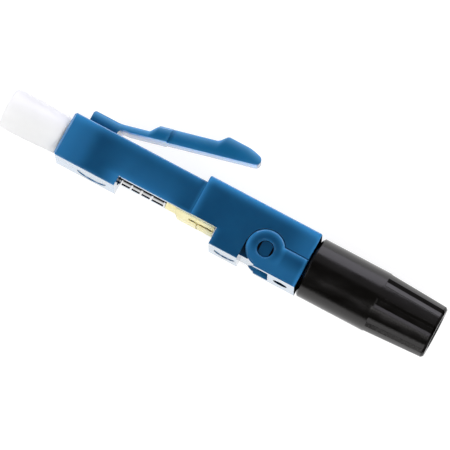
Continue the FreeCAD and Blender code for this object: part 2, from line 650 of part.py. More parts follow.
# Rear body: socket, notch, cable channel, hinge bosses and threaded tail
def make_rear_body():
    body = start("rear_body")
    side = draw(body, "XY_Plane", "body_side")
    polygon(side, [(stem_end, -d.open_depth), (notch_end, -d.open_depth), (notch_end, -body_half),
                   (body_end, -body_half), (body_end, body_half), (stem_end, body_half)])
    extrude(body, "Pad", "body_block", side, d.body_width)
    ease(body, "Fillet", "body_edges", d.body_round, is_body_edge)

    socket = draw(body, "XY_Plane", "socket_side")
    rectangle(socket, stem_end, notch_end, -beyond, tenon_top + d.fit_gap)
    extrude(body, "Pocket", "socket", socket, (tenon_half + d.fit_gap) * 2)
    channel = draw(body, "XY_Plane", "channel_profile")
    rectangle(channel, stem_end, tail_front, 0, channel_half)
    turn(body, "Groove", "channel_bore", channel)
    eye_room = d.eye_radius + d.lid_gap
    block_back = pivot_x - d.eye_radius - d.eye_front_gap
    step = pivot_x + d.saddle_step
    trough = draw(body, "XY_Plane", "trough_side")
    rectangle(trough, step, tail_front, -beyond, 0)
    extrude(body, "Pocket", "cable_trough", trough, d.channel_width)
    under = draw(body, "XY_Plane", "underside_side")
    polygon(under, [(block_back, -beyond), (tail_front, -beyond), (tail_front, -d.saddle_depth),
                    (step, -d.saddle_depth), (step, -d.saddle_front_depth),
                    (block_back, -d.saddle_front_depth)])
    extrude(body, "Pocket", "lid_floor_room", under, across)

    for name, sign in (("near", 1), ("far", -1)):
        outside = sign < 0
        wall = saddle_half * sign
        eye = draw(body, "XY_Plane", name + "_eye_room_side", wall)
        circle(eye, pivot_x, -d.pivot_drop, eye_room)
        extrude(body, "Pocket", name + "_eye_room", eye, beyond, "One side", not outside)
        arm = draw(body, "XY_Plane", name + "_arm_room_side", wall)
        polygon(arm, [(block_back, -beyond), (nut_front, -beyond),
                      (nut_front, d.lid_parting + d.lid_gap),
                      (pivot_x, d.lid_parting + d.lid_gap), (pivot_x, -d.pivot_drop),
                      (block_back, -d.pivot_drop)])
        extrude(body, "Pocket", name + "_arm_room", arm, beyond, "One side", not outside)
        boss_radius = d.eye_hole / 2 - d.pin_gap
        boss = draw(body, "XY_Plane", name + "_boss_outline", wall)
        circle(boss, pivot_x, -d.pivot_drop, boss_radius)
        boss_height = side_half - saddle_half - d.boss_recess
        extrude(body, "Pad", name + "_boss", boss, boss_height, "One side", outside)
        flats = draw(body, "XY_Plane", name + "_boss_flats", wall)
        for way in (1, -1):
            near_x = pivot_x + d.boss_flat * way / 2
            far_x = pivot_x + d.eye_hole * way / 2
            rectangle(flats, near_x, far_x, -d.pivot_drop - d.eye_hole / 2, d.eye_hole / 2 - d.pivot_drop)
        extrude(body, "Pocket", name + "_flats", flats, beyond, "One side", not outside)

    dimple = draw(body, "XZ_Plane", "body_dimple_outline", body_half)
    circle(dimple, stem_end + d.body_dimple_place, 0, d.body_dimple_diameter / 2)
    extrude(body, "Pocket", "body_ejector_recess", dimple, d.dimple_depth, "One side")

    collar = draw(body, "XY_Plane", "collar_profile")
    rectangle(collar, body_end - d.body_round, tail_front, channel_half, thread_radius)
    turn(body, "Revolution", "collar", collar, d.collar_angle)
    tail = draw(body, "XY_Plane", "tail_profile")
    polygon(tail, [(tail_front, channel_half), (tail_back, channel_half),
                   (tail_back, thread_radius - d.tail_lead), (tail_back - d.tail_lead, thread_radius),
                   (tail_front, thread_radius)])
    turn(body, "Revolution", "threaded_tail", tail)
    for plane in ("XY_Plane", "XZ_Plane"):
        slot = draw(body, plane, "tail_slot_" + plane[:2])
        slot_half = d.tail_slot / 2
        rectangle(slot, tail_back - d.tail_slot_length, tail_back + d.tail_lead, -slot_half, slot_half)
        extrude(body, "Pocket", "tail_slots_" + plane[:2], slot, across)
    return body


def is_body_edge(edge):
    """Every outer edge of the rear body's block but those of the notch."""
    box = edge.BoundBox
    at_side = abs(abs(box.ZMin) - side_half.number) < NEAR and box.ZLength < NEAR
    at_top = abs(box.YMin - body_half.number) < NEAR
    at_bottom = abs(box.YMax + body_half.number) < NEAR
    at_front = abs(box.XMax - stem_end.number) < NEAR
    at_back = abs(box.XMin - body_end.number) < NEAR
    return at_top or (at_side and (at_bottom or at_front or at_back))


# Clamp lid: two arms with eyes, floor with its hole and two jacket ribs
def make_clamp_lid():
    body = start("clamp_lid")
    floor_top = d.lid_floor - d.lid_depth
    lid = draw(body, "XY_Plane", "lid_side")
    heel = pivot_x - d.heel_reach
    polygon(lid, [(heel, -d.lid_depth), (body_end, -d.lid_depth), (body_end, d.lid_parting),
                  (pivot_x, d.lid_parting), (pivot_x, -d.pivot_drop), (heel, -d.pivot_drop)])
    extrude(body, "Pad", "lid_block", lid, lid_half * 2)
    eyes = draw(body, "XY_Plane", "eyes_side")
    circle(eyes, pivot_x, -d.pivot_drop, d.eye_radius)
    extrude(body, "Pad", "eyes", eyes, lid_half * 2)
    ease(body, "Chamfer", "outer_edges", d.lid_bevel, is_lid_edge)

    inside = draw(body, "XY_Plane", "lid_inside_side")
    lid_near = pivot_x - d.eye_radius * WELL_CLEAR
    polygon(inside, [(lid_near, -beyond), (floor_front, -beyond), (floor_front, floor_top),
                     (nut_front, floor_top), (nut_front, beyond), (lid_near, beyond)])
    extrude(body, "Pocket", "lid_inside", inside, arm_inside * 2)
    holes = draw(body, "XY_Plane", "eye_holes_side")
    circle(holes, pivot_x, -d.pivot_drop, d.eye_hole / 2)
    extrude(body, "Pocket", "eye_holes", holes, across)
    ease(body, "Chamfer", "eye_hole_bevels", d.eye_bevel, is_eye_rim)

    ribs = draw(body, "XY_Plane", "rib_side")
    rib_top = floor_top + d.rib_height
    for rib_x in (floor_front + d.rib_margin, body_end - d.rib_margin - d.rib_thickness):
        polygon(ribs, [(rib_x, floor_top), (rib_x + d.rib_thickness, floor_top),
                       (rib_x + d.rib_thickness / 2, rib_top)])
    extrude(body, "Pad", "jacket_ribs", ribs, (channel_half - d.rib_gap) * 2)
    hole = draw(body, "XZ_Plane", "lid_hole_outline", d.lid_depth)
    circle(hole, body_end - d.lid_hole_setback, 0, d.lid_hole / 2)
    extrude(body, "Pocket", "lid_hole_cut", hole, d.lid_floor, "One side")
    return body


def is_lid_edge(edge):
    box = edge.BoundBox
    return abs(abs(box.ZMin) - lid_half.number) < NEAR and box.ZLength < NEAR


def is_eye_rim(edge):
    box = edge.BoundBox
    at_side = abs(abs(box.ZMin) - lid_half.number) < NEAR and box.ZLength < NEAR
    return at_side and abs(box.XLength - d.eye_hole.number) < NEAR


# Grip nut: turned form with a tapered, fluted rear half
def make_grip_nut():
    body = start("grip_nut")
    profile = draw(body, "XY_Plane", "nut_profile")
    bore = thread_radius + d.thread_gap
    bore_end = tail_back + d.nut_bore_spare
    hole = d.cable_hole / 2
    polygon(profile, [(nut_front, bore), (nut_front, nut_radius - d.nut_bevel),
                      (nut_front + d.nut_bevel, nut_radius), (nut_taper, nut_radius),
                      (nut_back, nut_end_radius), (nut_back, hole),
                      (bore_end + d.nut_cone, hole), (bore_end, bore)])
    turn(body, "Revolution", "nut_turned", profile)
    ease(body, "Chamfer", "rear_edge", d.nut_end_bevel,
         lambda edge: abs(edge.BoundBox.YMax - nut_end_radius.number) < NEAR)

    slope = (nut_radius - nut_end_radius) / (nut_back - nut_taper)
    sections = []
    for name, x in (("front", nut_taper + d.flute_setback), ("back", nut_back + d.flute_setback)):
        surface = nut_radius - (x - nut_taper) * slope
        section = draw(body, "YZ_Plane", name + "_flute_section", x)
        low = surface - d.flute_depth
        high = surface + d.flute_depth
        spread = d.flute_mouth * 2 - d.flute_floor
        polygon(section, [(low, -d.flute_floor / 2), (high, -spread / 2),
                          (high, spread / 2), (low, d.flute_floor / 2)])
        sections.append(section)
    flute = body.newObject("PartDesign::SubtractiveLoft", "flute")
    flute.Profile = sections[0]
    flute.Sections = [sections[1]]
    flute.Ruled = True
    doc.recompute()
    flutes = body.newObject("PartDesign::PolarPattern", "flutes")
    flutes.Originals = [flute]
    flutes.Axis = (sections[0], ["N_Axis"])
    flutes.Angle = 360
    flutes.Occurrences = FLUTES
    body.Tip = flutes
    body.Placement.Rotation = FreeCAD.Rotation(FreeCAD.Vector(1, 0, 0), d.nut_turn.number)
    bind(body, "Placement.Rotation.Angle", d.nut_turn)
    doc.recompute()
    return body


# Dust cap: waisted head, nose and blind bore
def make_dust_cap():
    body = start("dust_cap")
    profile = draw(body, "XY_Plane", "cap_profile")
    nose = d.front_bore / 2 - d.nose_gap
    head_end = d.cap_head - d.cap_reach
    polygon(profile, [(-d.cap_reach, 0), (-d.cap_reach, d.cap_diameter / 2), (head_end, d.cap_diameter / 2),
                      (-d.cap_gap, d.cap_waist / 2), (-d.cap_gap, nose), (d.nose_length, nose),
                      (d.nose_length, d.cap_bore / 2), (d.cap_wall - d.cap_reach, d.cap_bore / 2),
                      (d.cap_wall - d.cap_reach, 0)])
    turn(body, "Revolution", "cap_moulded", profile)
    ease(body, "Fillet", "cap_end", d.cap_round,
         lambda edge: lies_at(edge, x=-d.cap_reach) and edge.BoundBox.YLength > d.cap_waist.number)
    return body


bodies = [
    make_dust_cap(),
    make_plug_housing(),
    make_latch_lever(),
    make_ferrule(),
    make_ferrule_flange(),
    make_fibre_stub(),
    make_coil_spring(),
    make_splice_holder(),
    make_groove_plate("v_groove_base", False),
    make_groove_plate("v_groove_cover", True),
    make_fibre_guide(),
    make_rear_body(),
    make_clamp_lid(),
    make_grip_nut(),
]
doc.recompute()

for item in doc.Objects:
    if "Invalid" in item.State or "Error" in item.State:
        raise RuntimeError(f"{item.Label} did not build: {item.State}")

os.makedirs("parts", exist_ok=True)
for body in bodies:
    shape = body.Shape
    if not shape.isValid() or len(shape.Solids) != 1:
        raise RuntimeError(f"{body.Label} is not one sound solid")
    shape.exportStep(f"parts/{body.Label}.step")
    box = shape.BoundBox
    print(f"{body.Label:16s} volume {shape.Volume:8.3f}  x {box.XMin:7.2f} {box.XMax:7.2f}"
          f"  y {box.YMin:6.2f} {box.YMax:6.2f}  z {box.ZMin:6.2f} {box.ZMax:6.2f}")
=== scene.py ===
import json
import math

import bmesh
import bpy
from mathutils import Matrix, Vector


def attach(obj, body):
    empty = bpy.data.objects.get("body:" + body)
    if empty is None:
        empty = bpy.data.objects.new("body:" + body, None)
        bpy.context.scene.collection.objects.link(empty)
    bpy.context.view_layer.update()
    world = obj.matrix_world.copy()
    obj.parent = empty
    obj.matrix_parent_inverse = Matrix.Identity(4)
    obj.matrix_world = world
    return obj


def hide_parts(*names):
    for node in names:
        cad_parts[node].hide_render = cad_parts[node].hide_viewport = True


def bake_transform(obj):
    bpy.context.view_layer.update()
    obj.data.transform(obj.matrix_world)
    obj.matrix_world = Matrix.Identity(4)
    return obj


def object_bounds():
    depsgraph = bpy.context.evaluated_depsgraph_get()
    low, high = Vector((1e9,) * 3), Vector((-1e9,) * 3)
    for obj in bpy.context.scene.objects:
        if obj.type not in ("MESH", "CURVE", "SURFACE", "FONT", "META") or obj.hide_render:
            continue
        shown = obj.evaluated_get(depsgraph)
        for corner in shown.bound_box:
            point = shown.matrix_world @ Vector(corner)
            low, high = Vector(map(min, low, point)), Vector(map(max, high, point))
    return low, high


# Looks of an LC fibre connector: everything is in metres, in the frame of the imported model
MM = 0.001
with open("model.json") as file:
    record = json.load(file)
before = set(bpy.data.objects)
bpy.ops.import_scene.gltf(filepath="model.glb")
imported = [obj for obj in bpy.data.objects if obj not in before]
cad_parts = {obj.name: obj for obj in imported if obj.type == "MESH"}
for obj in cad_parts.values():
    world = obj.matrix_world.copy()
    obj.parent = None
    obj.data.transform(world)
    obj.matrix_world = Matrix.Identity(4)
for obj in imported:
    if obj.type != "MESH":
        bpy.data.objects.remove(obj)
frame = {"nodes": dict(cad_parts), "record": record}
cad_low, cad_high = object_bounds()
nodes = frame["nodes"]

# Camera at the photograph's angle, with a long lens
AZIMUTH = math.radians(28.3)
ELEVATION = math.radians(79.6)
TARGET = Vector((17.29, -0.275, 0.0)) * MM
VIEW_WIDTH = 42.37 * MM
LENS = 400.0
SENSOR = 36.0
CLIP_RATIO = 100

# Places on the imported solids, in millimetres: X runs from the cap to the nut and Y towards the latch
PLUG_FRONT = 0.0
PLUG_TOP = 2.26
BORE_END = 2.9
WINDOW_FRONT = 6.48
WINDOW_BACK = 12.6
WINDOW_EDGE = -1.23
CHAMBER_RADIUS = 1.70
BODY_FRONT = 14.1
BODY_BACK = 26.0
BODY_TOP = 2.92
NOTCH_END = 16.95
NUT_FRONT = 26.2
NUT_BACK = 39.53
PIVOT = (21.9, -0.85)
BOSS_RADIUS = 0.75
EYE_RADIUS = 1.87
EYE_HOLE = 0.80
LID_TOP = 0.12
LID_FLOOR = -2.0
LID_HOLE = (24.5, 0.0)
LID_HOLE_RADIUS = 0.725

# Latch, in millimetres: a root, a sloping arm that bends where it leaves the root, two ears and a thumb lever
RISE = math.tan(math.radians(13.9))
ROOT_FRONT = 1.40
ROOT_BACK = 4.30
ROOT_TOP = 3.39
ROOT_FOOT = 2.20
ROOT_ROUND = 0.28
BEND_START = 3.70
BEND_END = 5.30
ARM_TOP = (4.378, 3.441)
ARM_LOW = (4.522, 2.859)
EAR_START = 6.93
EAR_RAMP = 0.63
EAR_RISE = 0.81
EAR_END = 8.76
RAMP_END = EAR_START + EAR_RAMP
LATCH_HALF = 1.35
LEVER_HALF = 0.95
LEVER_FRONT = EAR_END - EAR_RAMP
THUMB_START = 13.08
THUMB_FRONT = 13.64
THUMB_BACK = 15.74
THUMB_TOP = 7.21
TIP = 17.48
TIP_TOP = 6.85
TIP_ROUND = 0.34


# Objects, the camera and the lamps
def new_object(name, data):
    made = bpy.data.objects.new(name, data)
    bpy.context.scene.collection.objects.link(made)
    return made


def aim(thing, way, distance):
    """Sets a camera or lamp at a distance from the target, facing it."""
    thing.location = TARGET + way * distance
    thing.rotation_euler = (-way).to_track_quat("-Z", "Y").to_euler()


def make_camera():
    data = bpy.data.cameras.new("camera")
    data.lens = LENS
    data.sensor_width = SENSOR
    distance = VIEW_WIDTH * LENS / SENSOR
    data.clip_start = distance / CLIP_RATIO
    data.clip_end = distance * CLIP_RATIO
    camera = new_object("camera", data)
    back = Vector((math.sin(AZIMUTH) * math.cos(ELEVATION), -math.cos(AZIMUTH) * math.cos(ELEVATION),
                   math.sin(ELEVATION)))
    aim(camera, back, distance)
    bpy.context.scene.camera = camera


LAMP_DISTANCE = 0.30
LAMPS = [
    dict(name="key_softbox", towards=95, height=20, size=(0.70, 0.21), radiance=2.35, tint=(0.91, 0.90, 1.0)),
    dict(name="top_softbox", towards=95, height=56, size=(0.50, 0.16), radiance=0.26, tint=(0.97, 0.95, 1.0)),
    dict(name="front_softbox", towards=216, height=44, size=(0.30, 0.14), radiance=4.15),
    dict(name="back_softbox", towards=324, height=47, size=(0.30, 0.14), radiance=4.15),
]


def make_lamp(name, towards, height, size, radiance, tint=(1.0, 1.0, 1.0)):
    """Softbox that faces the object from a compass direction and a height, both in degrees."""
    data = bpy.data.lights.new(name, "AREA")
    data.shape = "RECTANGLE"
    data.size, data.size_y = size
    data.energy = radiance * math.pi * size[0] * size[1]
    data.color = tint
    turned, raised = math.radians(towards), math.radians(height)
    way = Vector((math.cos(raised) * math.cos(turned), math.cos(raised) * math.sin(turned), math.sin(raised)))
    aim(new_object(name, data), way, LAMP_DISTANCE)


# Node-tree helpers
MIX_FACTOR, MIX_FIRST, MIX_SECOND = 0, 6, 7
MIX_RESULT = 2
RIM_POWER = 3.0


def new_material(name):
    material = bpy.data.materials.new(name)
    material.use_nodes = True
    material.node_tree.nodes.clear()
    return material, material.node_tree


def add(tree, kind, **values):
    """Adds a shader node and sets its sockets or properties by name, with _ for a space in the name."""
    node = tree.nodes.new("ShaderNode" + kind)
    for key, value in values.items():
        label = key.replace("_", " ")
        if label in node.inputs:
            node.inputs[label].default_value = value
        else:
            setattr(node, key, value)
    return node


def feed(tree, source, node, entry):
    """Links a socket to an entry of a node."""
    tree.links.new(source, node.inputs[entry])


def grey(level):
    return (level, level, level, 1.0)


def colour(red, green, blue):
    return (red, green, blue, 1.0)


def ramp(tree, value, low, high, low_colour, high_colour):
    """Colour that runs from one to the other as the value goes from low to high."""
    node = add(tree, "ValToRGB")
    first, last = node.color_ramp.elements
    first.position, last.position = low, high
    first.color, last.color = low_colour, high_colour
    feed(tree, value, node, "Fac")
    return node.outputs["Color"]


def coordinates(tree, kind):
    """X, Y and Z of a kind of texture coordinates."""
    source = add(tree, "TexCoord")
    split = add(tree, "SeparateXYZ")
    feed(tree, source.outputs[kind], split, "Vector")
    return split.outputs


def own_place(tree):
    """X, Y and Z on the piece itself."""
    return coordinates(tree, "Object")


def object_noise(tree, scale, detail, stretch=(1.0, 1.0, 1.0)):
    """Noise fixed to the piece. The scale counts features in a millimetre."""
    source = add(tree, "TexCoord")
    mapping = add(tree, "Mapping", Scale=[axis / MM for axis in stretch])
    noise = add(tree, "TexNoise", Scale=scale, Detail=detail)
    feed(tree, source.outputs["Object"], mapping, "Vector")
    feed(tree, mapping.outputs["Vector"], noise, "Vector")
    return noise.outputs["Fac"]


def fall(tree, value, start, end, most=1.0, smooth=True):
    """Factor that falls from most at start to 0 at end."""
    node = add(tree, "MapRange", interpolation_type="SMOOTHSTEP" if smooth else "LINEAR",
               From_Min=start, From_Max=end, To_Min=most, To_Max=0.0)
    feed(tree, value, node, "Value")
    return node.outputs["Result"]


def fade(tree, value, start, end, most=1.0, smooth=True):
    """The same over a length, with start and end in millimetres."""
    return fall(tree, value, start * MM, end * MM, most, smooth)


def combine(tree, operation, first, second=0.0):
    """Math on a socket and a second socket or plain number."""
    node = add(tree, "Math", operation=operation)
    feed(tree, first, node, 0)
    if isinstance(second, (int, float)):
        node.inputs[1].default_value = second
    else:
        feed(tree, second, node, 1)
    return node.outputs["Value"]


def total(tree, first, *others):
    for other in others:
        first = combine(tree, "ADD", first, other)
    return first


def product(tree, first, *others):
    for other in others:
        first = combine(tree, "MULTIPLY", first, other)
    return first


def rim(tree, value, edge, inwards, most=1.0):
    """Painted glow that dies away quickly from an edge, standing in for light that scatters in the plastic.
    """
    share = fade(tree, value, edge, edge + inwards, smooth=False)
    return product(tree, combine(tree, "POWER", share, RIM_POWER), most)


def distance_from(tree, first, second, centre):
    """Distance of the point from a centre, over two of its coordinates."""
    squares = []
    for value, middle in zip((first, second), centre):
        offset = combine(tree, "ABSOLUTE", combine(tree, "SUBTRACT", value, middle * MM))
        squares.append(combine(tree, "POWER", offset, 2.0))
    return combine(tree, "SQRT", total(tree, *squares))


def mixed(tree, blend, factor, first, second):
    """Colour mix of two sockets or plain colours by a socket or a number."""
    node = add(tree, "Mix", data_type="RGBA", blend_type=blend)
    for entry, value in ((MIX_FACTOR, factor), (MIX_FIRST, first), (MIX_SECOND, second)):
        if isinstance(value, (int, float, tuple)):
            node.inputs[entry].default_value = value
        else:
            feed(tree, value, node, entry)
    return node.outputs[MIX_RESULT]


# Plastics and metals
EDGE_SAMPLES = 6
FULL_SHINE = 0.5
CHAMBER_SHADE = colour(0.012, 0.012, 0.013)


def add_relief(tree, shader, height, strength, depth, edge):
    """Fine relief, on normals that run round the sharp edges as on a moulded or tumbled part."""
    rounded = add(tree, "Bevel", samples=EDGE_SAMPLES, Radius=edge * MM)
    bump = add(tree, "Bump", Strength=strength, Distance=depth * MM)
    feed(tree, rounded.outputs["Normal"], bump, "Normal")
    feed(tree, height, bump, "Height")
    feed(tree, bump.outputs["Normal"], shader, "Normal")


def add_gloss(tree, shader, value, low, high, rough):
    feed(tree, ramp(tree, value, low, high, grey(rough[0]), grey(rough[1])), shader, "Roughness")


def add_output(tree, shader):
    feed(tree, shader.outputs["BSDF"], add(tree, "OutputMaterial"), "Surface")


def moulded_plastic(name, dark, light, rough, grain, edge, **sockets):
    """Plastic with slow shifts of colour and gloss, and the fine grain of its mould."""
    material, tree = new_material(name)
    shader = add(tree, "BsdfPrincipled", IOR=1.5, **sockets)
    clouds = object_noise(tree, scale=0.35, detail=3.0)
    feed(tree, ramp(tree, clouds, 0.35, 0.65, dark, light), shader, "Base Color")
    flow = object_noise(tree, scale=1.2, detail=1.0, stretch=(0.4, 1.0, 1.0))
    add_gloss(tree, shader, flow, low=0.3, high=0.7, rough=rough)
    skin = object_noise(tree, scale=6.0, detail=1.0)
    add_relief(tree, shader, skin, grain, depth=0.02, edge=edge)
    add_output(tree, shader)
    return material, shader


def turned_metal(name, dark, light, rough, lines, grain, edge, in_chamber=False):
    """Metal with fine tool marks across the axis and slight stains, dark where the chamber shades it."""
    material, tree = new_material(name)
    shader = add(tree, "BsdfPrincipled", Metallic=1.0)
    stains = object_noise(tree, scale=1.2, detail=3.0)
    tint = ramp(tree, stains, 0.3, 0.7, dark, light)
    if in_chamber:
        shaded = fade(tree, own_place(tree)["Y"], WINDOW_EDGE + 0.04, WINDOW_EDGE - 0.06)
        tint = mixed(tree, "MIX", shaded, tint, CHAMBER_SHADE)
    feed(tree, tint, shader, "Base Color")
    marks = object_noise(tree, scale=lines, detail=2.0, stretch=(6.0, 0.6, 0.6))
    add_gloss(tree, shader, marks, low=0.25, high=0.75, rough=rough)
    add_relief(tree, shader, marks, grain, depth=0.01, edge=edge)
    add_output(tree, shader)
    return material


def keep_dull(tree, shader, hidden):
    """Takes the gloss off the places that no light reaches."""
    shine = add(tree, "Math", operation="SUBTRACT")
    shine.inputs[0].default_value = 1.0
    feed(tree, hidden, shine, 1)
    feed(tree, product(tree, shine.outputs["Value"], FULL_SHINE), shader, "Specular IOR Level")
    return shine.outputs["Value"]


# Translucent blue: painted glow makes it lighter along edges and thin walls, painted shade darker in gaps and
# holes
GLOW_REACH = 1.3
LATCH_GLOW = 1.1
LATCH_REACH = 1.15
EDGE_DEPTH = 0.38
EDGE_SPAN = (0.55, 1.0)
GAP_DEPTH = 1.2
GAP_SPAN = (0.08, 0.54)
LIGHT_SAMPLES = 8
BLUE_ROUGH = (0.16, 0.22)
BLUE_GRAIN = 0.04
BLUE_EDGE = 0.06
BLUE_REACH = (0.15, 0.5, 1.0)
UNDER_SPAN = (-0.9, -0.7)
# Colour of the painted glow on the undersides
UNDERSIDE_GLOW_BLUE = colour(0.18, 0.56, 0.92)
# Colour of the painted shade in the dark chamber, holes and gaps
PAINTED_SHADE_BLUE = colour(0.001, 0.002, 0.004)
# Thin is the colour of the painted glow, and under the share of the painted glow on the undersides
MASS_BLUE = dict(dark=colour(0.0038, 0.061, 0.152), light=colour(0.0050, 0.072, 0.176),
                 thin=colour(0.036, 0.250, 0.560), scatter=(0.2, 0.3), coat=1.0, under=0.32)
LATCH_BLUE = dict(dark=colour(0.006, 0.112, 0.260), light=colour(0.009, 0.130, 0.300),
                  thin=colour(0.112, 0.358, 0.645), scatter=(0.3, 0.5), coat=0.65, under=1.0)


def plug_painted_light(tree):
    """Painted glow at the plug's top and front, round its bore and over the spring's window, and painted
    shade in the chamber.
    """
    place = own_place(tree)
    top = rim(tree, place["Y"], PLUG_TOP, -GLOW_REACH, most=0.95)
    bore = total(tree, fade(tree, place["X"], BORE_END - 1.0, BORE_END + 0.7, most=0.33),
                 fade(tree, place["X"], PLUG_FRONT, PLUG_FRONT + 2.2, most=0.22))
    front = rim(tree, place["X"], PLUG_FRONT, inwards=0.35, most=0.8)
    over = fade(tree, place["Y"], WINDOW_EDGE, PLUG_TOP + 0.14, most=0.27)
    low = rim(tree, place["Y"], WINDOW_EDGE, inwards=1.1, most=0.45)
    stem = product(tree, total(tree, over, low),
                   fade(tree, place["X"], WINDOW_FRONT + 0.52, WINDOW_FRONT - 2.08),
                   fade(tree, place["X"], WINDOW_BACK - 1.6, WINDOW_BACK + 0.8))
    glow = product(tree, total(tree, top, bore, stem, front),
                   fade(tree, place["X"], BODY_FRONT - 0.9, BODY_FRONT))
    across = combine(tree, "ABSOLUTE", place["Z"])
    chamber = product(tree, fade(tree, across, CHAMBER_RADIUS + 0.004, CHAMBER_RADIUS + 0.012),
                      fade(tree, place["X"], WINDOW_FRONT + 0.01, WINDOW_FRONT),
                      fade(tree, place["X"], WINDOW_BACK - 0.01, WINDOW_BACK),
                      fade(tree, place["Y"], CHAMBER_RADIUS + 0.02, CHAMBER_RADIUS + 0.1))
    return glow, chamber


def end_gap(tree, x):
    """1 on the faces in the gap ahead of the nut, where shade is painted."""
    return product(tree, fade(tree, x, BODY_BACK - 0.01, BODY_BACK - 0.03),
                   fade(tree, x, BODY_BACK + 0.25, BODY_BACK + 0.28))


def body_painted_light(tree):
    """Painted glow along the rear body's top and ends. Painted shade keeps the hinge bosses and the gap at
    the nut dark.
    """
    place = own_place(tree)
    top = rim(tree, place["Y"], BODY_TOP, -GLOW_REACH, most=1.8)
    front = rim(tree, place["X"], BODY_FRONT, inwards=1.1, most=0.9)
    step = product(tree, rim(tree, place["X"], NOTCH_END, inwards=0.9, most=0.4),
                   fade(tree, place["Y"], WINDOW_EDGE - 0.3, WINDOW_EDGE + 0.3),
                   fade(tree, place["X"], NOTCH_END, NOTCH_END - 0.02))
    back = total(tree, fade(tree, place["X"], BODY_BACK, BODY_BACK - 3.4, most=0.32),
                 rim(tree, place["X"], BODY_BACK, inwards=-0.5, most=0.9))
    reach = distance_from(tree, place["X"], place["Y"], PIVOT)
    boss = fade(tree, reach, BOSS_RADIUS + 0.01, BOSS_RADIUS + 0.03, most=0.2)
    return total(tree, top, front, step, back), combine(tree, "MAXIMUM", boss, end_gap(tree, place["X"]))


def lid_painted_light(tree):
    """Painted glow along the lid's top and rear edges, round its eyes and over its floor, and painted shade
    in the floor hole and the gap at the nut.
    """
    place = own_place(tree)
    top = product(tree, rim(tree, place["Y"], LID_TOP, inwards=-0.9, most=1.2),
                  fade(tree, place["X"], PIVOT[0] + 1.6, PIVOT[0] + 1.2))
    reach = distance_from(tree, place["X"], place["Y"], PIVOT)
    eye = product(tree, rim(tree, reach, EYE_RADIUS, inwards=-0.85, most=1.5),
                  fade(tree, place["Y"], PIVOT[1], PIVOT[1] - 1.2),
                  fade(tree, place["X"], PIVOT[0] + 1.0, PIVOT[0] + 2.0))
    ring = rim(tree, reach, EYE_HOLE, inwards=0.35, most=0.5)
    back = rim(tree, place["X"], BODY_BACK, inwards=-0.6, most=1.2)
    floor = fade(tree, place["Y"], LID_FLOOR, LID_FLOOR + 1.4, most=0.30)
    inside = distance_from(tree, place["X"], place["Z"], LID_HOLE)
    hole = fade(tree, inside, LID_HOLE_RADIUS + 0.01, LID_HOLE_RADIUS + 0.02, most=0.9)
    return (total(tree, top, eye, ring, back, floor),
            combine(tree, "MAXIMUM", hole, end_gap(tree, place["X"])))


def latch_painted_light(tree):
    """Painted glow that dies away downwards from the latch's top. Nothing on it lies hidden."""
    place = own_place(tree)
    slope = total(tree, product(tree, place["X"], RISE), (ARM_TOP[1] - ARM_TOP[0] * RISE) * MM)
    top = combine(tree, "MAXIMUM", slope, ROOT_TOP * MM)
    top = total(tree, top, fade(tree, place["X"], RAMP_END, EAR_START, EAR_RISE * MM, smooth=False))
    below_pad = product(tree, combine(tree, "SUBTRACT", top, THUMB_TOP * MM),
                        fade(tree, place["X"], THUMB_START, THUMB_FRONT + 0.1))
    top = total(tree, below_pad, THUMB_TOP * MM)
    drop = fade(tree, place["X"], TIP, THUMB_BACK, (THUMB_TOP - TIP_TOP) * MM, smooth=False)
    top = combine(tree, "SUBTRACT", top, drop)
    most = total(tree, fade(tree, place["X"], EAR_END, THUMB_START, most=0.25), LATCH_GLOW)
    glow = rim(tree, combine(tree, "SUBTRACT", top, place["Y"]), edge=0.0, inwards=LATCH_REACH)
    return product(tree, glow, most), None


def underside_painted_glow(tree, most):
    """Painted glow on the faces that look away from the latch, standing in for the table's light that comes
    through.
    """
    return fall(tree, coordinates(tree, "Normal")["Y"], *UNDER_SPAN, most)


def edge_painted_glow(tree, most):
    """Painted glow along all edges, where the plastic behind the surface is thin."""
    thickness = add(tree, "AmbientOcclusion", samples=LIGHT_SAMPLES, inside=True, only_local=True,
                    Distance=EDGE_DEPTH * MM)
    return ramp(tree, thickness.outputs["AO"], *EDGE_SPAN, grey(most), grey(0.0))


def gap_shade(tree, source, least):
    """The colour, darkened where little light gets in."""
    opening = add(tree, "AmbientOcclusion", samples=LIGHT_SAMPLES, Distance=GAP_DEPTH * MM)
    shade = ramp(tree, opening.outputs["AO"], *GAP_SPAN, grey(least), grey(1.0))
    return mixed(tree, "MULTIPLY", 1.0, source, shade)


def blue_plastic(name, own_painted_light, edges, least, dark, light, thin, scatter, coat, under):
    """Blue with the piece's own painted glow and painted shade. Thin is the colour of the painted glow, edges
    its share along all of the edges, least the light that the painted shade leaves in its gaps, scatter the
    share and reach of the light inside it, and under the share of painted glow from the table."""
    material, shader = moulded_plastic(
        name, dark, light, BLUE_ROUGH, BLUE_GRAIN, BLUE_EDGE, Coat_Weight=coat, Coat_Roughness=0.12,
        Coat_IOR=1.6, Subsurface_Weight=scatter[0], Subsurface_Radius=BLUE_REACH,
        Subsurface_Scale=scatter[1] * MM)
    tree = material.node_tree
    tint = shader.inputs["Base Color"].links[0].from_socket
    share, hidden = own_painted_light(tree)
    if edges > 0:
        share = combine(tree, "MAXIMUM", edge_painted_glow(tree, edges), share)
    result = mixed(tree, "MIX", share, tint, thin)
    result = gap_shade(tree, result, least)
    result = mixed(tree, "MIX", underside_painted_glow(tree, under), result, UNDERSIDE_GLOW_BLUE)
    if hidden is not None:
        result = mixed(tree, "MIX", hidden, result, PAINTED_SHADE_BLUE)
        feed(tree, keep_dull(tree, shader, hidden), shader, "Coat Weight")
    feed(tree, result, shader, "Base Color")
    return material


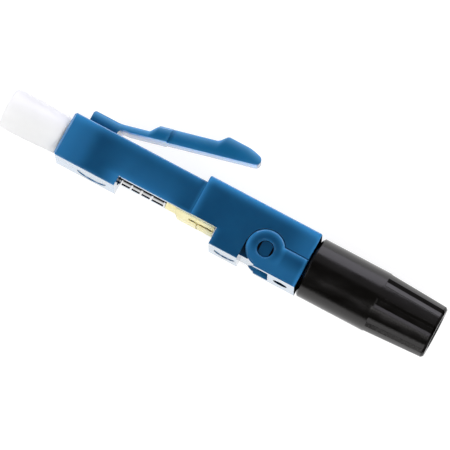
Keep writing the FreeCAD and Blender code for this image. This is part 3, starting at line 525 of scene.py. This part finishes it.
# Looks of the other plastics and the metals. Rough is the span of the roughness, and edge the rounding in
# millimetres.
NUT_LOOK = dict(dark=colour(0.0016, 0.0013, 0.0010), light=colour(0.0024, 0.0020, 0.0016),
                rough=(0.17, 0.26), grain=0.2, edge=0.05, Specular_Tint=colour(1.0, 0.97, 0.97))
PLASTICS = {
    "cap_plastic": dict(dark=colour(0.92, 0.92, 0.94), light=colour(0.95, 0.95, 0.965),
                        rough=(0.30, 0.38), grain=0.1, edge=0.05, Subsurface_Weight=1.0,
                        Subsurface_Radius=(1.0, 1.0, 1.0), Subsurface_Scale=0.8 * MM),
    "fibre_glass": dict(dark=colour(0.85, 0.90, 0.92), light=colour(0.90, 0.94, 0.95),
                        rough=(0.04, 0.08), grain=0.0, edge=0.005, Transmission_Weight=0.9),
    "zirconia": dict(dark=colour(0.86, 0.85, 0.82), light=colour(0.91, 0.90, 0.88),
                     rough=(0.12, 0.18), grain=0.05, edge=0.02),
    "guide_plastic": dict(dark=colour(0.84, 0.84, 0.82), light=colour(0.90, 0.90, 0.88),
                          rough=(0.38, 0.48), grain=0.15, edge=0.04),
}
METALS = {
    "flange_steel": dict(dark=colour(0.55, 0.55, 0.56), light=colour(0.65, 0.65, 0.65), rough=(0.25, 0.35),
                         lines=2.0, grain=0.2, edge=0.03, in_chamber=True),
    "spring_steel": dict(dark=colour(0.70, 0.70, 0.71), light=colour(0.80, 0.80, 0.80), rough=(0.14, 0.22),
                         lines=3.0, grain=0.1, edge=0.01, in_chamber=True),
    "splice_brass": dict(dark=colour(0.97, 0.91, 0.62), light=colour(0.99, 0.96, 0.74), rough=(0.78, 0.92),
                         lines=2.0, grain=0.2, edge=0.04),
    "groove_metal": dict(dark=colour(0.66, 0.66, 0.67), light=colour(0.75, 0.75, 0.76), rough=(0.28, 0.38),
                         lines=2.0, grain=0.2, edge=0.02),
}


def nut_plastic():
    """Black plastic, with painted shade that takes the gloss off the bevels at both ends."""
    material, shader = moulded_plastic("black_plastic", **NUT_LOOK)
    tree = material.node_tree
    x = own_place(tree)["X"]
    keep_dull(tree, shader, total(tree, fade(tree, x, NUT_FRONT + 0.15, NUT_FRONT + 0.25, most=0.3),
                                  fade(tree, x, NUT_BACK - 0.2, NUT_BACK - 0.3, most=0.92)))
    return material


def make_materials():
    made = {
        "blue_plug": blue_plastic("blue_plug", plug_painted_light, edges=0.35, least=0.5, **MASS_BLUE),
        "blue_body": blue_plastic("blue_body", body_painted_light, edges=0.0, least=0.06, **MASS_BLUE),
        "blue_lid": blue_plastic("blue_lid", lid_painted_light, edges=0.0, least=0.06, **MASS_BLUE),
        "blue_latch": blue_plastic("blue_latch", latch_painted_light, edges=0.2, least=0.5, **LATCH_BLUE),
        "black_plastic": nut_plastic(),
    }
    for name, look in PLASTICS.items():
        made[name] = moulded_plastic(name, **look)[0]
    for name, look in METALS.items():
        made[name] = turned_metal(name, **look)
    return made


# Mesh helpers
CREASE = math.radians(35)
CORNER_STEPS = 4


def finish_piece(name, mesh, material):
    mesh.validate()
    for face in mesh.polygons:
        face.use_smooth = True
    mesh.set_sharp_from_angle(angle=CREASE)
    mesh.materials.append(material)
    piece = new_object(name, mesh)
    return piece


def loft(name, rings, joined=False):
    """Skin over rings of equal count. The first and last are joined to each other, or get an end cap each."""
    count = len(rings[0])
    points = [point for ring in rings for point in ring]
    faces = []
    for row in range(len(rings) if joined else len(rings) - 1):
        after = (row + 1) % len(rings)
        for step in range(count):
            following = (step + 1) % count
            faces.append((row * count + step, row * count + following,
                          after * count + following, after * count + step))
    if not joined:
        last = (len(rings) - 1) * count
        faces.append(tuple(reversed(range(count))))
        faces.append(tuple(range(last, last + count)))
    mesh = bpy.data.meshes.new(name)
    mesh.from_pydata(points, [], faces)
    work = bmesh.new()
    work.from_mesh(mesh)
    bmesh.ops.recalc_face_normals(work, faces=work.faces)
    work.to_mesh(mesh)
    work.free()
    return mesh


def limited(value):
    return min(max(value, 0.0), 1.0)


def spread(low, high, count):
    """Even steps from low to high, with both of them in the count."""
    return [low + (high - low) * step / (count - 1) for step in range(count)]


def curve_through(points, x):
    """Height at x of a smooth line through points that give x, height and slope."""
    for (x0, y0, slope0), (x1, y1, slope1) in zip(points, points[1:]):
        if x <= x1:
            run = x1 - x0
            t = limited((x - x0) / run)
            return ((2 * t ** 3 - 3 * t ** 2 + 1) * y0 + (t ** 3 - 2 * t ** 2 + t) * run * slope0
                    + (3 * t ** 2 - 2 * t ** 3) * y1 + (t ** 3 - t ** 2) * run * slope1)
    return points[-1][1]


def arc_drop(distance, radius):
    """How far a rounded corner lies below its flat, at this distance from the corner's end."""
    if distance >= radius:
        return 0.0
    return radius - math.sqrt(max(radius ** 2 - (radius - distance) ** 2, 0.0))


def bar_section(x, low, high, half_width, low_corner, high_corner):
    """Rounded rectangle across the latch at x, from low to high in Y, counted round the X axis."""
    ring = []
    for sign_y, sign_z in ((1, 1), (-1, 1), (-1, -1), (1, -1)):
        corner = high_corner if sign_y > 0 else low_corner
        edge = high if sign_y > 0 else low
        steps = range(CORNER_STEPS + 1)
        if sign_y * sign_z < 0:
            steps = reversed(steps)
        for step in steps:
            angle = math.pi / 2 * step / CORNER_STEPS
            y = edge - sign_y * corner * (1 - math.cos(angle))
            z = sign_z * (half_width - corner * (1 - math.sin(angle)))
            ring.append((x * MM, y * MM, z * MM))
    return ring


# Latch arm and the thumb lever behind its ears
SKIN = 0.004
SOFT_CORNER = 0.07
EAR_CORNER = 0.32
CORNER_RUN = 0.25
ROUND_STEPS = 6
TIP_STEPS = 7


def arm_top(x):
    return ARM_TOP[1] + (x - ARM_TOP[0]) * RISE


def arm_low(x):
    return ARM_LOW[1] + (x - ARM_LOW[0]) * RISE


# Smooth lines as x, height and slope
HEEL = 4.62
BEND_TOP = [(BEND_START, ROOT_TOP, 0.0), (BEND_END, arm_top(BEND_END), RISE)]
BEND_LOW = [(ROOT_BACK, 2.55, 3.0), (HEEL, 2.93, 0.75), (BEND_END, arm_low(BEND_END), RISE)]
LEVER_LINE = [(LEVER_FRONT, arm_top(LEVER_FRONT) + EAR_RISE, RISE),
              (THUMB_START - 0.25, arm_top(THUMB_START - 0.25) + EAR_RISE, RISE),
              (THUMB_START + 0.28, 6.78, 1.42),
              (THUMB_FRONT + 0.22, THUMB_TOP, 0.0),
              (THUMB_BACK, THUMB_TOP, 0.0),
              (TIP, TIP_TOP, (TIP_TOP - THUMB_TOP) / (TIP - THUMB_BACK) * 1.4)]

# Runs of sections as start, end and count, closer together where the latch curves
ARM_RUNS = [(1.9, BEND_START, 6), (BEND_START + 0.1, ROOT_BACK - 0.05, 5), (ROOT_BACK, HEEL, 9),
            (4.7, BEND_END, 7), (5.6, EAR_START - 0.12, 5), (EAR_START - 0.04, RAMP_END - 0.10, 6),
            (RAMP_END - 0.05, RAMP_END + 0.12, 5), (7.9, EAR_END, 4)]
LEVER_RUNS = [(LEVER_FRONT, 12.6, 10), (12.8, 14.1, 18), (14.4, TIP - TIP_ROUND, 9)]


def latch_top(x):
    if x < BEND_START:
        return ROOT_TOP - arc_drop(x - ROOT_FRONT, ROOT_ROUND)
    if x < BEND_END:
        return curve_through(BEND_TOP, x)
    return arm_top(x) + EAR_RISE * limited((x - EAR_START) / EAR_RAMP)


def latch_low(x):
    if x < ROOT_BACK:
        return ROOT_FOOT
    if x < BEND_END:
        return curve_through(BEND_LOW, x)
    return arm_low(x)


def make_latch_arm(material):
    stations = [ROOT_FRONT + ROOT_ROUND * (1 - math.cos(math.pi / 2 * step / ROUND_STEPS))
                for step in range(ROUND_STEPS + 1)]
    for run in ARM_RUNS:
        stations += spread(*run)
    rings = []
    for x in stations:
        corner = SOFT_CORNER + (EAR_CORNER - SOFT_CORNER) * limited((x - RAMP_END + CORNER_RUN) / CORNER_RUN)
        rings.append(bar_section(x, latch_low(x) - SKIN, latch_top(x) + SKIN, LATCH_HALF + SKIN,
                                 SOFT_CORNER, corner))
    arm = finish_piece("latch_arm", loft("latch_arm", rings), material)
    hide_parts("latch_lever")
    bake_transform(arm)


def make_thumb_lever(material):
    stations = []
    for run in LEVER_RUNS:
        stations += spread(*run)
    stations += [TIP - TIP_ROUND * (1 - math.sin(math.pi / 2 * step / TIP_STEPS))
                 for step in range(1, TIP_STEPS + 1)]
    rings = []
    for x in stations:
        drop = arc_drop(TIP - x, TIP_ROUND)
        rings.append(bar_section(x, arm_low(x) + drop, curve_through(LEVER_LINE, x) - drop, LEVER_HALF,
                                 SOFT_CORNER, SOFT_CORNER))
    lever = finish_piece("thumb_lever", loft("thumb_lever", rings), material)
    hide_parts("latch_lever")
    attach(lever, "latch")


# Spring of round wire: open coils, and a last coil that lies against the brass. The places are the wire's X
# after each turn, and it ends half a turn before the last of them.
WIRE_RADIUS = 0.11
WIRE_STEPS = 12
COIL_RADIUS = 1.47
COIL_STEPS = 48
COIL_PLACES = [4.74, 5.02, 5.72, 6.75, 7.81, 8.87, 9.95, 11.40, 11.41]
COIL_TURNS = len(COIL_PLACES) - 1.5


def make_spring(material):
    pitches = [after - before for before, after in zip(COIL_PLACES, COIL_PLACES[1:])]
    slopes = [0.0] + [min(pair) for pair in zip(pitches, pitches[1:])] + [0.0]
    line = list(zip(range(len(COIL_PLACES)), COIL_PLACES, slopes))
    rings = []
    for step in range(int(COIL_TURNS * COIL_STEPS) + 1):
        turns = step / COIL_STEPS
        angle = 2 * math.pi * turns
        x = curve_through(line, turns)
        ring = []
        for side in range(WIRE_STEPS):
            around = 2 * math.pi * side / WIRE_STEPS
            radius = COIL_RADIUS + WIRE_RADIUS * math.cos(around)
            ring.append(((x + WIRE_RADIUS * math.sin(around)) * MM,
                         -radius * math.cos(angle) * MM, radius * math.sin(angle) * MM))
        rings.append(ring)
    spring = finish_piece("spring_wire", loft("spring_wire", rings), material)
    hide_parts("coil_spring")
    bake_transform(spring)


# Lip of the dust cap, close to the plug's front face
LIP_START = -0.12
LIP_END = -0.012
LIP_RADIUS = 1.86
LIP_INNER = 1.62
LIP_ROUND = 0.02
LIP_STEPS = 96


def make_cap_lip(material):
    outline = [(LIP_START, LIP_INNER), (LIP_START, LIP_RADIUS), (LIP_END - LIP_ROUND, LIP_RADIUS),
               (LIP_END, LIP_RADIUS - LIP_ROUND), (LIP_END, LIP_INNER)]
    rings = []
    for step in range(LIP_STEPS):
        angle = 2 * math.pi * step / LIP_STEPS
        rings.append([(x * MM, radius * math.cos(angle) * MM, radius * math.sin(angle) * MM)
                      for x, radius in outline])
    lip = finish_piece("cap_lip", loft("cap_lip", rings, joined=True), material)
    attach(lip, "cap")


# White table in a dim room, which the camera sees white
FLOOR_SIZE = 4.0
FLOOR_MATTE = grey(0.9)
FLOOR_SHADE = grey(0.3)
FLOOR_GLOW = grey(0.85)
ROOM_LIGHT = grey(0.03)
WHITE = grey(1.0)


def seen_ray(tree):
    """1 for a ray from the camera, off a gloss or through something clear."""
    path = add(tree, "LightPath")
    seen = combine(tree, "MAXIMUM", path.outputs["Is Camera Ray"], path.outputs["Is Glossy Ray"])
    return combine(tree, "MAXIMUM", seen, path.outputs["Is Transmission Ray"])


def mix_shaders(tree, factor, first, second):
    mix = add(tree, "MixShader")
    for entry, source in enumerate((factor, first.outputs[0], second.outputs[0])):
        feed(tree, source, mix, entry)
    return mix.outputs["Shader"]


def make_floor():
    half = FLOOR_SIZE / 2
    height = cad_low.z
    corners = [(-half, -half, height), (half, -half, height), (half, half, height), (-half, half, height)]
    mesh = bpy.data.meshes.new("table")
    mesh.from_pydata(corners, [], [(0, 1, 2, 3)])
    floor = new_object("table", mesh)
    material, tree = new_material("white_table")
    matte = add(tree, "BsdfDiffuse", Color=FLOOR_MATTE)
    shaded = add(tree, "BsdfDiffuse", Color=FLOOR_SHADE)
    glow = add(tree, "Emission", Color=FLOOR_GLOW, Strength=1.0)
    white = add(tree, "AddShader")
    feed(tree, shaded.outputs[0], white, 0)
    feed(tree, glow.outputs[0], white, 1)
    mix = mix_shaders(tree, seen_ray(tree), matte, white)
    feed(tree, mix, add(tree, "OutputMaterial"), "Surface")
    mesh.materials.append(material)


def make_world():
    world = bpy.data.worlds.new("studio")
    bpy.context.scene.world = world
    world.use_nodes = True
    tree = world.node_tree
    tree.nodes.clear()
    room = add(tree, "Background", Color=ROOM_LIGHT, Strength=1.0)
    white = add(tree, "Background", Color=WHITE, Strength=1.0)
    path = add(tree, "LightPath")
    mix = mix_shaders(tree, path.outputs["Is Camera Ray"], room, white)
    feed(tree, mix, add(tree, "OutputWorld"), "Surface")


make_camera()
make_floor()
make_world()
for lamp in LAMPS:
    make_lamp(**lamp)

# The blue solids have a material each, and the others the one that their slot names
OWN_MATERIALS = {"plug_housing": "blue_plug", "rear_body": "blue_body", "clamp_lid": "blue_lid",
                 "latch_lever": "blue_latch"}
materials = make_materials()
for part in frame["record"]["subparts"]:
    node = nodes[part["node"]]
    node.data.materials.clear()
    node.data.materials.append(materials[OWN_MATERIALS.get(part["node"], part["material_slot"])])
make_latch_arm(materials["blue_latch"])
make_thumb_lever(materials["blue_latch"])
make_spring(materials["spring_steel"])
make_cap_lip(materials["cap_plastic"])

bpy.context.scene.view_settings.view_transform = "Standard"
